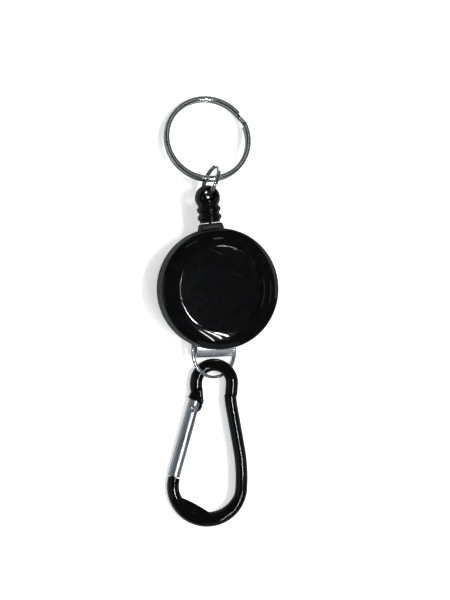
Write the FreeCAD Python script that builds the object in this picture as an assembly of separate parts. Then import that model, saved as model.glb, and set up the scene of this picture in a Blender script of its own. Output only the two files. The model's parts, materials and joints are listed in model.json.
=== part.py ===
import FreeCAD, Part
import math
import os

# Retractable badge reel with a gourd carabiner, lying on its belt clip.
#
# A round two-part plastic casing holds a spool, driven by a flat spiral spring, that winds a thin cord.
# The cord leaves through a nozzle and ends in a ribbed bead, which carries a small split link and a split
# key ring. A sprung steel belt clip swivels on the back. A thin split ring joins it to the carabiner.
#
# Frame, in millimetres: the origin is on the spool's axis, on the surface that the reel lies on.
# +Y is the way the cord is pulled, and +Z comes out of the front cover.

V = FreeCAD.Vector
X_AXIS, Y_AXIS, Z_AXIS = V(1, 0, 0), V(0, 1, 0), V(0, 0, 1)

# ---------------------------------------------------------------- driving dimensions

# casing
CASE_R = 16.0            # outer radius of both covers
BACK_Z = 6.25            # back face of the rear cover
PART_Z = 12.2            # parting line: the front cover is a shallow lid
FRONT_Z = 14.6           # crest of the front cover's rim
COVER_WALL = 1.2
SEAM = 0.12              # open seam between the covers, seen from outside
CROWN_R = 7.5            # the front cover's gently domed border
EDGE_R = 1.3             # and its tighter outer edge
BACK_ROUND_R = 1.6       # rounded edge of the rear cover
RECESS_R = 11.0          # flat round recess in the front cover
RECESS_DEPTH = 0.6
LIP_R = 0.3              # rounded edge of that recess
SIDE_INNER_R = 14.6      # inner radius of the side walls
SPIGOT_R = (13.9, 14.52)  # the front cover's locating ring, which stands inside the rear cover
SPIGOT_H = 1.0
POST_R = 2.2             # fixed post that the spool turns on
POST_TOP_Z = 12.65
SOCKET_R = 2.95          # collar in the front cover around the post's top
SOCKET_H = 0.6

# spool, cord and spring
CORD_D = 0.8
CORD_Z = 9.9             # height of the cord's run and of the spool's groove
CORD_SPLIT_Y = 15.4      # the run that stays in the casing ends here, and the pulled run begins
GROOVE_W = 2.6
FLANGE_T = 0.75
FLANGE_R = 12.6
DRUM_R = (8.0, 8.8)      # inner and outer radius of the spool's drum
WINDING_R = 11.1         # outer radius of the wound cord
HUB_R = 3.3
HUB_H = 1.1
RUN = 0.1                # running clearance on radius
SPRING_T = 0.15
SPRING_Z = (7.8, 10.4)
SPRING_R = (2.75, 7.35)  # first and last radius of the spiral
SPRING_TURNS = 8
SPRING_TAB_X = 1.6       # how far its inner end reaches into the post

# nozzle that guides the cord out of the casing
NOZZLE_Y = (13.0, 17.4)
NOZZLE_HALF = (4.0, 2.8)  # half width at the casing and at the tip
NOZZLE_HALF_Z = 2.2
NOZZLE_FLANGE_T = 0.8
NOZZLE_FLANGE_HALF = 4.5
NOZZLE_BORE_R = 0.7
MOUTH_R = 1.9            # flared inner mouth
MOUTH_L = 1.4
MOUTH_BEND_R = 1.6       # radius of the cord's bend in that mouth

# bead on the end of the cord
BEAD_Y0 = 17.55
RIB_Y = (19.0, 21.1)
RIB_R = 3.2
RIB_ROUND = 0.9
BEAD_NECK_R = 2.7
BALL_Y = 24.15
BALL_R = 3.35
EYE_Y = 24.9             # cross hole that holds the link
EYE_R = 0.95
BEAD_BORE_R = 0.55
KNOT_ROOM_R = 1.3
KNOT_Y = 21.3
KNOT_R = 1.05

# split rings: mean radius, radial width of the wire, thickness of one coil
LINK = (4.05, 0.65, 0.55)
KEY_RING = (11.05, 1.4, 1.15)
TAIL_RING = (6.6, 0.8, 0.42)
COIL_GAP = 0.04
RAMP = {"link": 50.0, "key_ring": 26.0, "tail_ring": 30.0}  # degrees over which the wire changes coil

# how the link and the key ring lie
LINK_LEAN = V(0.42, 0.88, -0.22)   # from the bead's eye to the link's centre
LINK_DEPTH = V(0.15, 0.0, 0.988)   # the way the link's wire goes through the eye
KEY_RING_CENTRE = (3.25, 39.65)
KEY_RING_TILT = 15.0               # its near side is held up by the link
KEY_RING_SEAM = 38.0               # angle of the split, from +X

# belt clip, in its own frame, which is turned about the rivet
CLIP_TURN = -5.0
CLIP_W = 10.0
CLIP_T = 0.6
CLIP_GAP = 5.0
CLIP_BEND_Y = -15.0
CLIP_FLAT_Y = 5.0        # the outer leaf lies flat as far as this
CLIP_PINCH = (8.6, 4.3)  # where it comes nearest the casing
CLIP_TIP = (11.4, 3.2)
CLIP_INNER_END_Y = 6.0
CLIP_CORNER_R = 2.6
RIVET_HEAD_R = 2.4
RIVET_HEAD_H = 0.65
RIVET_R = 1.1
RIVET_TOP_Z = 8.7
RIVET_FLARE_R = 1.45

# thin ring that joins the clip to the carabiner, in the clip's frame
TAIL_RING_CENTRE = V(0.25, -16.8, 3.27)
TAIL_RING_TILT = 19.0
TAIL_RING_SEAM = -62.0

# carabiner, in its own frame: origin at the centre of the small loop, -Y towards the big loop
CARABINER_AT = V(0.1, -24.9, 3.31)    # in the clip's frame
CARABINER_TURN = -5.5                 # swung to the side, from the clip's line
CARABINER_TILT = 10.5                 # the thin ring lifts its right side
BAR_R = 1.62
LOOP_R = 4.77             # small loop, to the bar's centre
LOOP_HALF = (1.66, 1.3)   # the small loop's bar is pressed flat: half width, half thickness
BIG_R = 9.1               # big loop, to the bar's centre
BIG_Y = -27.6
ARM_IN = 0.36             # the round bar starts this far inside the pressed loop
ARM_ANGLE = 14.0          # slope of the plain long side
ARM_BOW_R = 44.0          # gentle bow from the slope into the big loop
ARM_BEND = 2.8            # length of the bend below the pressed loop
NOTCH_Y = -3.0            # where the pressed loop meets the round bar
HEEL_SHIFT = 0.75         # the bar is thicker round the bottom
WEB_DEPTH = 1.9           # how far the flat in the gate-side corner stands in from the bar
WAIST_TOP_Y = -0.5        # the loop's left leg bends inwards from here, to a waist above the gate
WAIST_R = 6.1
WAIST_BEND = 22.0         # degrees
SHOULDER_TOP = ((-5.75, -2.25), (-2.9, -2.25))  # below the waist it spreads to the gate's width
SHOULDER_REACH = (1.92, 2.4)                    # to each side of the gate's axis
GATE_R = 1.62
GATE_TOP = V(-4.8, -5.0, 0)
GATE_FOOT = V(-9.08, -25.6, 0)
PIVOT_BELOW_TOP = 2.3
TONGUE_T = 0.95
SLOT_W = 1.1
GATE_BORE_R = 1.0
GATE_BORE_L = 13.0
PIVOT_TO_FLAT = 1.35
PLUNGER_FROM_PIVOT = 1.4
PLUNGER_R = 0.86
PLUNGER_L = 4.0
GATE_SPRING_WIRE = 0.22
GATE_SPRING_R = 0.68
GATE_SPRING_COILS = 10
GATE_RIVET_R = 0.5
GATE_RIVET_HEAD_R = 1.0
GATE_RIVET_HEAD_H = 0.32


# ---------------------------------------------------------------- helpers

def box(low, high):
    """A box between two corners."""
    size = V(*high) - V(*low)
    return Part.makeBox(size.x, size.y, size.z, V(*low))


def rod(r, start, end, r_end=None):
    """A cylinder, or a cone, between two points."""
    axis = end - start
    if r_end is None or abs(r_end - r) < 1e-9:
        return Part.makeCylinder(r, axis.Length, start, axis)
    return Part.makeCone(r, r_end, axis.Length, start, axis)


def outline(*pieces):
    """A face bounded by points and arcs: a point is a corner, and (middle, end) is an arc to end."""
    edges, here = [], V(*pieces[0])
    start = here
    for piece in pieces[1:]:
        if isinstance(piece[0], tuple):
            middle, end = V(*piece[0]), V(*piece[1])
            edges.append(Part.Arc(here, middle, end).toShape())
        else:
            end = V(*piece)
            edges.append(Part.LineSegment(here, end).toShape())
        here = end
    if (here - start).Length > 1e-7:
        edges.append(Part.LineSegment(here, start).toShape())
    return Part.Face(Part.Wire(edges))


def on_arc(centre, r, degrees):
    """A point on a circle in the plane of the first two coordinates."""
    a = math.radians(degrees)
    return (centre[0] + r * math.cos(a), centre[1] + r * math.sin(a))


def profile(*pieces):
    """An outline given as (radius, height) pairs, in the XZ plane, ready to revolve about Z."""
    def lift(p):
        return (p[0], 0.0, p[1])
    return outline(*[
        (lift(p[0]), lift(p[1])) if isinstance(p[0], tuple) else lift(p) for p in pieces
    ])


def revolve_z(face):
    return face.revolve(V(), Z_AXIS, 360)


def pipe(path_edges, section, start, tangent):
    """Sweeps a section face's outer wire along edges that join smoothly."""
    spine = Part.Wire(path_edges)
    shell = spine.makePipeShell([section], True, False)
    if shell.Volume < 0:
        shell.reverse()
    return shell


def circle_at(centre, normal, r):
    return Part.Wire([Part.Circle(centre, normal, r).toShape()])


def ellipse_at(centre, normal, half_u, half_z):
    """An ellipse in the plane across normal, with half_z along Z."""
    across = normal.cross(Z_AXIS).normalize()
    if half_u >= half_z:
        curve = Part.Ellipse(centre + across * half_u, centre + Z_AXIS * half_z, centre)
    else:
        curve = Part.Ellipse(centre + Z_AXIS * half_z, centre + across * half_u, centre)
    return Part.Wire([curve.toShape()])


def in_plane(point, degrees):
    """A point turned about Z through the origin."""
    return FreeCAD.Rotation(Z_AXIS, degrees).multVec(point)


def placed(shape, placement):
    copy = shape.copy()
    copy.Placement = placement.multiply(copy.Placement)
    return copy


# ---------------------------------------------------------------- where the groups lie

CLIP_FRAME = FreeCAD.Placement(V(), FreeCAD.Rotation(Z_AXIS, CLIP_TURN))
TAIL_RING_FRAME = CLIP_FRAME.multiply(
    FreeCAD.Placement(TAIL_RING_CENTRE, FreeCAD.Rotation(Y_AXIS, TAIL_RING_TILT))
)
CARABINER_FRAME = CLIP_FRAME.multiply(
    FreeCAD.Placement(
        CARABINER_AT,
        FreeCAD.Rotation(Z_AXIS, CARABINER_TURN).multiply(FreeCAD.Rotation(Y_AXIS, -CARABINER_TILT)),
    )
)
EYE = V(0, EYE_Y, CORD_Z)


def link_frame():
    """The link's own XY plane holds its wire, with +Y from the eye to its centre."""
    lean = V(LINK_LEAN).normalize()
    depth = V(LINK_DEPTH - lean * LINK_DEPTH.dot(lean)).normalize()
    rotation = FreeCAD.Rotation(depth, lean, depth.cross(lean), "XYZ")
    return FreeCAD.Placement(EYE + lean * LINK[0], rotation)


def key_ring_frame():
    r, radial, coil = KEY_RING
    tilt = math.radians(KEY_RING_TILT)
    rim = (r + radial / 2) * math.sin(tilt) + (coil + COIL_GAP / 2) * math.cos(tilt)
    rotation = FreeCAD.Rotation(X_AXIS, -KEY_RING_TILT)
    return FreeCAD.Placement(V(KEY_RING_CENTRE[0], KEY_RING_CENTRE[1], rim), rotation)


# ---------------------------------------------------------------- casing

def front_cover():
    """A lid: a flat round recess, a gently domed border, a tight edge and a locating ring."""
    ceiling = FRONT_Z - RECESS_DEPTH - COVER_WALL
    floor = FRONT_Z - RECESS_DEPTH
    seat = PART_Z + SEAM / 2
    lip = (RECESS_R + LIP_R, FRONT_Z - LIP_R)
    crown = (lip[0], FRONT_Z - CROWN_R)
    meet = math.degrees(math.acos((CASE_R - EDGE_R - lip[0]) / (CROWN_R - EDGE_R)))
    edge = on_arc(crown, CROWN_R - EDGE_R, meet)
    shell = revolve_z(profile(
        (0, ceiling),
        (SPIGOT_R[0], ceiling),
        (SPIGOT_R[0], seat - SPIGOT_H),
        (SPIGOT_R[1], seat - SPIGOT_H),
        (SPIGOT_R[1], seat),
        (CASE_R - 0.08, seat),
        (CASE_R, seat + 0.05),
        (CASE_R, edge[1]),
        (on_arc(edge, EDGE_R, meet / 2), on_arc(edge, EDGE_R, meet)),
        (on_arc(crown, CROWN_R, (meet + 90) / 2), (lip[0], FRONT_Z)),
        (on_arc(lip, LIP_R, 135), (RECESS_R, lip[1])),
        (RECESS_R, floor),
        (0, floor),
    ))
    collar = rod(SOCKET_R, V(0, 0, ceiling - SOCKET_H), V(0, 0, ceiling + 0.2))
    shell = shell.fuse(collar)
    return shell.cut(rod(POST_R + 0.05, V(0, 0, ceiling - SOCKET_H - 1), V(0, 0, ceiling))).cut(
        nozzle_seat()
    ).removeSplitter()


def rear_cover():
    """A deep cup with the post that the spool turns on."""
    floor = BACK_Z + COVER_WALL
    top = PART_Z - SEAM / 2
    corner = (CASE_R - BACK_ROUND_R, BACK_Z + BACK_ROUND_R)
    shell = revolve_z(profile(
        (0, BACK_Z),
        (corner[0], BACK_Z),
        (on_arc(corner, BACK_ROUND_R, -45), (CASE_R, corner[1])),
        (CASE_R, top - 0.08),
        (CASE_R - 0.08, top),
        (SIDE_INNER_R, top),
        (SIDE_INNER_R, floor + 0.6),
        (SIDE_INNER_R - 0.6, floor),
        (POST_R, floor),
        (POST_R, POST_TOP_Z),
        (0, POST_TOP_Z),
    ))
    bore = rod(RIVET_R + 0.05, V(0, 0, BACK_Z - 1), V(0, 0, RIVET_TOP_Z))
    room = rod(RIVET_FLARE_R + 0.1, V(0, 0, RIVET_TOP_Z - 0.45), V(0, 0, RIVET_TOP_Z + 1.0))
    slot = box((0, -0.2, SPRING_Z[0] - 0.1), (POST_R + 0.1, 0.2, SPRING_Z[1] + 0.1))
    return shell.cut(bore).cut(room).cut(slot).cut(nozzle_seat()).removeSplitter()


def nozzle_outline(grow=0.0, y_end=NOZZLE_Y[1]):
    """The nozzle's plan, from inside the casing's wall to its tip."""
    base, tip = NOZZLE_HALF[0] + grow, NOZZLE_HALF[1] + grow
    y0 = NOZZLE_Y[0]
    return outline((-base, y0, 0), (base, y0, 0), (tip, y_end, 0), (-tip, y_end, 0))


def nozzle_seat():
    """The opening through both covers that the nozzle fills, with a flange's room inside."""
    gap = 0.06
    half = NOZZLE_HALF_Z + gap
    seat = nozzle_outline(gap, NOZZLE_Y[1] + 1).extrude(V(0, 0, 2 * half))
    seat.translate(V(0, 0, CORD_Z - half))
    flange = box(
        (-NOZZLE_FLANGE_HALF - gap, NOZZLE_Y[0] - gap, CORD_Z - half),
        (NOZZLE_FLANGE_HALF + gap, NOZZLE_Y[0] + NOZZLE_FLANGE_T + gap, CORD_Z + half),
    )
    return seat.fuse(flange)


def cord_guide():
    half = NOZZLE_HALF_Z
    block = nozzle_outline().extrude(V(0, 0, 2 * half))
    block.translate(V(0, 0, CORD_Z - half))
    y0, y1 = NOZZLE_Y
    long_edges = [
        e for e in block.Edges
        if abs(e.Vertexes[0].Point.y - e.Vertexes[1].Point.y) > 1 or e.CenterOfMass.y > y1 - 0.01
    ]
    block = block.makeFillet(0.7, long_edges)
    flange = box(
        (-NOZZLE_FLANGE_HALF, y0, CORD_Z - half),
        (NOZZLE_FLANGE_HALF, y0 + NOZZLE_FLANGE_T, CORD_Z + half),
    )
    bore = rod(NOZZLE_BORE_R, V(0, y0 - 1, CORD_Z), V(0, y1 + 1, CORD_Z))
    mouth = rod(MOUTH_R, V(0, y0, CORD_Z), V(0, y0 + MOUTH_L, CORD_Z), NOZZLE_BORE_R)
    outer = rod(NOZZLE_BORE_R, V(0, y1 - 0.5, CORD_Z), V(0, y1, CORD_Z), NOZZLE_BORE_R + 0.5)
    return block.fuse(flange).cut(bore).cut(mouth).cut(outer).removeSplitter()


# ---------------------------------------------------------------- spool, spring and cord

def spool():
    z0, z1 = CORD_Z - GROOVE_W / 2 - FLANGE_T, CORD_Z + GROOVE_W / 2 + FLANGE_T
    low, high = z0 + FLANGE_T, z1 - FLANGE_T
    inner, outer = DRUM_R
    bore = POST_R + RUN
    wheel = revolve_z(profile(
        (bore, z1 - HUB_H), (HUB_R, z1 - HUB_H), (HUB_R, high), (inner, high), (inner, z0),
        (FLANGE_R, z0), (FLANGE_R, low), (outer, low), (outer, high), (FLANGE_R, high),
        (FLANGE_R, z1), (bore, z1),
    ))
    lightening = [
        rod(1.1, in_plane(V(5.6, 0, high - 1), a), in_plane(V(5.6, 0, z1 + 1), a))
        for a in range(30, 390, 60)
    ]
    anchor_hole = rod(CORD_D / 2 + 0.05, V(0, -10.4, z1 + 1), V(0, -10.4, high - 0.1))
    catch = box((-0.5, 0, SPRING_Z[0] + 0.1), (0.5, 0.6, high)).translated(V(0, -inner - 0.05, 0))
    return wheel.cut(Part.makeCompound(lightening)).cut(anchor_hole).fuse(catch).removeSplitter()


def half_turns(r_start, r_end, turns):
    """A spiral as half circles about two centres in turn: the edges, in order."""
    step = (r_end - r_start) / (2 * turns)
    edges = []
    x_from, r = r_start, r_start
    for k in range(2 * turns):
        side = 1 if k % 2 == 0 else -1
        r_mid = r + step / 2
        centre_x = side * (x_from - r_mid)
        a0 = 0 if side > 0 else 180
        points = [on_arc((centre_x, 0), r_mid, a0 + a) for a in (0, 90, 180)]
        edges.append(Part.Arc(*[V(*p, 0) for p in points]).toShape())
        x_from = 2 * r_mid - x_from
        r += step
    return edges, V(*points[2], 0)


def spiral_spring():
    """A flat steel strip. Its inner end is in the post's slot, its outer end behind the spool's catch."""
    half = SPRING_T / 2
    inner, inner_end = half_turns(SPRING_R[0] - half, SPRING_R[1] - half, SPRING_TURNS)
    outer, outer_end = half_turns(SPRING_R[0] + half, SPRING_R[1] + half, SPRING_TURNS)
    start = Part.LineSegment(V(SPRING_R[0] - half, 0, 0), V(SPRING_R[0] + half, 0, 0)).toShape()
    end = Part.LineSegment(outer_end, inner_end).toShape()
    wire = Part.Wire(Part.__sortEdges__([start] + outer + [end] + inner))
    strip = Part.Face(wire)
    tab = Part.Face(Part.makePolygon([
        V(SPRING_TAB_X, -half, 0), V(SPRING_R[0] + half, -half, 0), V(SPRING_R[0] + half, half, 0),
        V(SPRING_TAB_X, half, 0), V(SPRING_TAB_X, -half, 0),
    ]))
    r = SPRING_R[1]
    tail = outline(
        (r + half, 0, 0),
        ((*on_arc((0, 0), r + half, -45), 0), (*on_arc((0, 0), r + half, -94), 0)),
        (*on_arc((0, 0), r - half, -94), 0),
        ((*on_arc((0, 0), r - half, -45), 0), (r - half, 0, 0)),
    )
    height = V(0, 0, SPRING_Z[1] - SPRING_Z[0])
    solids = [face.extrude(height) for face in (strip, tab, tail)]
    spring = solids[0].fuse(solids[1:]).removeSplitter()
    spring.translate(V(0, 0, SPRING_Z[0]))
    return spring


def cord_winding():
    """The cord on the drum: turns laid side by side, as rounded ridges, in one closed ring."""
    across = 3
    pitch = GROOVE_W / across
    z0 = CORD_Z - GROOVE_W / 2
    ridge = pitch / 2 - 0.01
    pieces = [(DRUM_R[1], z0 + 0.02), (WINDING_R - ridge, z0 + 0.02)]
    for k in range(across):
        centre = (WINDING_R - ridge, z0 + pitch * (k + 0.5))
        if k:
            pieces.append((centre[0], centre[1] - ridge))
        pieces.append((on_arc(centre, ridge, 0), (centre[0], centre[1] + ridge)))
    pieces[1] = (WINDING_R - ridge, z0 + pitch / 2 - ridge)
    pieces.append((DRUM_R[1], pieces[-1][1][1]))
    pieces[0] = (DRUM_R[1], pieces[1][1])
    return revolve_z(profile(*pieces))


def cord_run():
    """The stretch inside the casing, from the winding to the middle of the nozzle."""
    r = WINDING_R + CORD_D / 2 + 0.05
    mouth = V(0, NOZZLE_Y[0] + 0.25, CORD_Z)
    away = math.acos(r / mouth.y)
    leave = V(r * math.sin(away), r * math.cos(away), CORD_Z)
    inward = (leave - mouth).normalize()
    turn = math.pi - math.acos(inward.dot(V(0, 1, 0)))
    reach = MOUTH_BEND_R * math.tan(turn / 2)
    a, b = mouth + inward * reach, mouth + V(0, reach, 0)
    bisector = (inward + V(0, 1, 0)).normalize()
    centre = mouth + bisector * (MOUTH_BEND_R / math.cos(turn / 2))
    middle = centre - bisector * MOUTH_BEND_R
    end = V(0, CORD_SPLIT_Y, CORD_Z)
    edges = [
        Part.LineSegment(leave, a).toShape(),
        Part.Arc(a, middle, b).toShape(),
        Part.LineSegment(b, end).toShape(),
    ]
    return pipe(edges, circle_at(leave, inward * -1, CORD_D / 2), leave, inward)


def pull_cord():
    return rod(CORD_D / 2, V(0, CORD_SPLIT_Y + 0.02, CORD_Z), V(0, KNOT_Y - 0.9, CORD_Z))


def cord_knot():
    """An overhand knot, as two crossed loops of cord closed up into a ball."""
    ball = Part.makeSphere(KNOT_R, V(0, KNOT_Y, CORD_Z))
    loops = [
        Part.makeTorus(KNOT_R - 0.28, 0.36, V(0, KNOT_Y, CORD_Z), V(0.5, side * 0.8, 0.4))
        for side in (1, -1)
    ]
    cap = rod(KNOT_R + 1, V(0, KNOT_Y - 0.88, CORD_Z), V(0, KNOT_Y + 1.6, CORD_Z))
    return ball.fuse(loops).common(cap).removeSplitter()


def cord_anchor():
    """The knot that holds the cord's other end on the spool's front flange."""
    z1 = CORD_Z + GROOVE_W / 2 + FLANGE_T
    at = V(0, -10.4, z1 + 0.02)
    head = Part.makeSphere(0.55, at + V(0, 0, 0.1)).cut(box((-2, -12.4, z1 - 2), (2, -8.4, z1 + 0.02)))
    tail = rod(CORD_D / 2, V(0, -10.4, CORD_Z + GROOVE_W / 2 + 0.02), at)
    return head.fuse(tail).removeSplitter()


# ---------------------------------------------------------------- bead

def cord_bead():
    base, r = BEAD_Y0, BEAD_NECK_R
    join = BALL_Y - math.sqrt(BALL_R ** 2 - (r + 0.1) ** 2)
    body = rod(r, V(0, base, 0), V(0, join + 0.3, 0))
    ribs = []
    for y in RIB_Y:
        ribs.append(rod(RIB_R - RIB_ROUND, V(0, y - RIB_ROUND, 0), V(0, y + RIB_ROUND, 0)))
        ribs.append(Part.makeTorus(RIB_R - RIB_ROUND, RIB_ROUND, V(0, y, 0), Y_AXIS))
    ball = Part.makeSphere(BALL_R, V(0, BALL_Y, 0))
    bead = body.fuse(ribs + [ball])
    bead.translate(V(0, 0, CORD_Z))
    depth = V(link_frame().Rotation.multVec(X_AXIS))
    flare = trumpet(depth)
    cord_hole = rod(BEAD_BORE_R, V(0, base - 1, CORD_Z), V(0, KNOT_Y, CORD_Z))
    room = rod(KNOT_ROOM_R, V(0, KNOT_Y - KNOT_R, CORD_Z), V(0, EYE_Y, CORD_Z))
    return bead.cut(cord_hole).cut(room).cut(flare).removeSplitter()


def trumpet(axis):
    """The cross hole, narrow in the middle and flared to let the link's curved wire through."""
    r, radial, coil = LINK
    waist = EYE_R
    edge_r = r - radial / 2 - 0.12
    def swell(s):
        return r - math.sqrt(edge_r ** 2 - s ** 2)
    far = 3.5
    face = profile(
        (0, -far), (max(waist, swell(far)), -far),
        ((waist + 0.22 * (swell(far) - waist), -far / 2), (waist, 0)),
        ((waist + 0.22 * (swell(far) - waist), far / 2), (max(waist, swell(far)), far)),
        (0, far),
    )
    solid = revolve_z(face)
    solid.Placement = FreeCAD.Placement(EYE, FreeCAD.Rotation(Z_AXIS, axis))
    return solid


# ---------------------------------------------------------------- split rings

def split_ring(size, ramp, seam):
    """Two flat coils of one wire about Z. The wire steps from one to the other at the seam angle."""
    r, radial, coil = size
    level = (coil + COIL_GAP) / 2
    soft = min(radial, coil) * 0.28
    half_r, half_z = radial / 2, coil / 2

    def section(angle, z):
        points = []
        for cx, cz, a0 in (
            (half_r - soft, half_z - soft, 0), (soft - half_r, half_z - soft, 90),
            (soft - half_r, soft - half_z, 180), (half_r - soft, soft - half_z, 270),
        ):
            points.append([(r + cx + soft * math.cos(math.radians(a0 + a)),
                            z + cz + soft * math.sin(math.radians(a0 + a))) for a in (0, 45, 90)])
        edges = []
        for k, (p0, p1, p2) in enumerate(points):
            edges.append(Part.Arc(*[V(p[0], 0, p[1]) for p in (p0, p1, p2)]).toShape())
            q = points[(k + 1) % 4][0]
            edges.append(Part.LineSegment(V(p2[0], 0, p2[1]), V(q[0], 0, q[1])).toShape())
        wire = Part.Wire(edges)
        wire.rotate(V(), Z_AXIS, angle)
        return wire

    gap = 1.5
    upper = Part.Face(section(seam + ramp / 2 + gap, level)).revolve(V(), Z_AXIS, 360 - ramp - gap)
    lower = Part.Face(section(seam + ramp / 2, -level)).revolve(V(), Z_AXIS, 360 - ramp - gap)
    steps = 8
    sections = []
    for k in range(steps + 1):
        t = k / steps
        ease = t * t * (3 - 2 * t)
        sections.append(section(seam - ramp / 2 + ramp * t, level - 2 * level * ease))
    bridge = Part.makeLoft(sections, True, False)
    return upper.fuse([bridge, lower]).removeSplitter()


# ---------------------------------------------------------------- belt clip

def rounded_corners(y_end, z0, z1):
    """What is cut off the two corners of a leaf to round its end."""
    r, half = CLIP_CORNER_R, CLIP_W / 2
    pieces = []
    for side in (1, -1):
        corner = box((0, 0, z0), (r + 1, r + 1, z1)).cut(rod(r, V(0, 0, z0 - 1), V(0, 0, z1 + 1)))
        if side < 0:
            corner = corner.mirror(V(), X_AXIS)
        corner.translate(V(side * (half - r), y_end - r, 0))
        pieces.append(corner)
    return Part.makeCompound(pieces)


def belt_clip():
    t, gap = CLIP_T, CLIP_GAP
    by, bz = CLIP_BEND_Y, t + gap / 2
    outer_r, inner_r = gap / 2 + t, gap / 2
    top = gap + 2 * t
    py, pz = CLIP_PINCH
    ty, tz = CLIP_TIP

    def leaf(shift):
        """The outer leaf's line, raised by shift: flat, up to the pinch, then out to the tip."""
        return [(0, CLIP_FLAT_Y, shift), (0, py, pz - t + shift), (0, ty, tz - t + shift)]

    low, high = leaf(0.0), leaf(t)
    strip = outline(
        (0, CLIP_INNER_END_Y, top), (0, by, top),
        ((0, by - outer_r, bz), (0, by, 0)),
        *low,
        *reversed(high),
        (0, by, t),
        ((0, by - inner_r, bz), (0, by, top - t)),
        (0, CLIP_INNER_END_Y, top - t),
    )
    clip = strip.extrude(V(CLIP_W, 0, 0))
    clip.translate(V(-CLIP_W / 2, 0, 0))
    clip = clip.cut(rounded_corners(CLIP_INNER_END_Y, gap - 0.5, top + 0.5))
    clip = clip.cut(rounded_corners(ty, tz - t - 1.5, pz + 0.3))
    hole = rod(RIVET_R + 0.05, V(0, 0, top - t - 0.5), V(0, 0, top + 0.5))
    return placed(clip.cut(hole), CLIP_FRAME)


def clip_rivet():
    """A tubular rivet: a low domed head under the clip, a shank, and a flared end inside the post."""
    under = CLIP_GAP + CLIP_T
    flare_z = RIVET_TOP_Z - 0.35
    return revolve_z(profile(
        (0, under - RIVET_HEAD_H),
        ((RIVET_HEAD_R * 0.72, under - RIVET_HEAD_H * 0.78), (RIVET_HEAD_R, under - 0.12)),
        (RIVET_HEAD_R, under - 0.02), (RIVET_R, under - 0.02), (RIVET_R, flare_z),
        (RIVET_FLARE_R, RIVET_TOP_Z), (RIVET_FLARE_R - 0.5, RIVET_TOP_Z),
        (RIVET_R - 0.45, flare_z - 0.3), (0, flare_z - 0.3),
    ))


# ---------------------------------------------------------------- carabiner

def arm_points():
    """The right long side, down its centreline: end of the loop, arc, slope, bow, start of the big loop."""
    a = math.radians(ARM_ANGLE)
    start_x = LOOP_R - ARM_IN
    bow_x = BIG_R - ARM_BOW_R * (1 - math.cos(a))
    bow_y = BIG_Y + ARM_BOW_R * math.sin(a)
    corner_y = bow_y + (bow_x - start_x) / math.tan(a)
    top = V(start_x, corner_y + ARM_BEND, 0)
    low = V(start_x + ARM_BEND * math.sin(a), corner_y - ARM_BEND * math.cos(a), 0)
    bend_r = ARM_BEND / math.tan(a / 2)
    centre = top + V(bend_r, 0, 0)
    middle = V(centre.x - bend_r * math.cos(a / 2), centre.y - bend_r * math.sin(a / 2), 0)
    bow_mid = V(
        BIG_R - ARM_BOW_R * (1 - math.cos(a / 2)), BIG_Y + ARM_BOW_R * math.sin(a / 2), 0
    )
    return top, middle, low, V(bow_x, bow_y, 0), bow_mid, V(BIG_R, BIG_Y, 0)


def carabiner_pose(shape):
    return placed(shape, CARABINER_FRAME)


def gate_axis():
    return (GATE_FOOT - GATE_TOP).normalize()


def pivot():
    return GATE_TOP + gate_axis() * PIVOT_BELOW_TOP


def across_gate():
    """Unit vector across the gate, towards the inside of the carabiner."""
    down = gate_axis()
    return V(-down.y, down.x, 0)


def carabiner_body():
    top, middle, low, bow, bow_mid, big = arm_points()
    # its left leg bends inwards to a waist above the gate
    bend = math.radians(WAIST_BEND / 2)
    centre = V(-LOOP_R + WAIST_R, WAIST_TOP_Y, 0)
    left = [centre - V(math.cos(k * bend), math.sin(k * bend), 0) * WAIST_R for k in range(3)]
    loop_edges = [
        Part.LineSegment(V(LOOP_R, NOTCH_Y, 0), V(LOOP_R, 0, 0)).toShape(),
        Part.Arc(V(LOOP_R, 0, 0), V(0, LOOP_R, 0), V(-LOOP_R, 0, 0)).toShape(),
        Part.LineSegment(V(-LOOP_R, 0, 0), left[0]).toShape(),
        Part.Arc(*left).toShape(),
    ]
    start = V(LOOP_R, NOTCH_Y, 0)
    loop = pipe(loop_edges, ellipse_at(start, Y_AXIS, *LOOP_HALF), start, Y_AXIS)

    foot_angle = 180 - math.degrees(math.asin((GATE_FOOT.y - 0.2 - BIG_Y) / BIG_R))
    foot = V(*on_arc((0, BIG_Y), BIG_R, foot_angle), 0)
    bottom = V(0, BIG_Y - BIG_R, 0)
    arm_edges = [
        Part.LineSegment(V(top.x, top.y + 2.0, 0), top).toShape(),
        Part.Arc(top, middle, low).toShape(),
        Part.LineSegment(low, bow).toShape(),
        Part.Arc(bow, bow_mid, big).toShape(),
        Part.Arc(big, bottom, foot).toShape(),
    ]
    first = V(top.x, top.y + 2.0, 0)
    arm = pipe(arm_edges, circle_at(first, Y_AXIS, BAR_R), first, Y_AXIS)
    arm = arm.cut(box((LOOP_R - 3, NOTCH_Y, -3), (LOOP_R + 3, 5, 3)))

    # round the bottom the bar is thicker: a second pass on an arc that leaves the first one inwards
    near, deep = BIG_R - 0.03, BIG_R - HEEL_SHIFT
    ends = [V(*on_arc((0, BIG_Y), r, a), 0) for r, a in ((near, -12), (deep, -90), (near, -168))]
    heel_path = Part.Arc(*ends)
    tangent = heel_path.tangent(heel_path.FirstParameter)[0]
    heel = pipe([heel_path.toShape()], circle_at(ends[0], tangent, BAR_R - 0.04), ends[0], tangent)

    body = loop.fuse([arm, heel, web()])
    body = body.fuse([shoulder(), tongue(), nose()])
    return carabiner_pose(body.removeSplitter())


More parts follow.
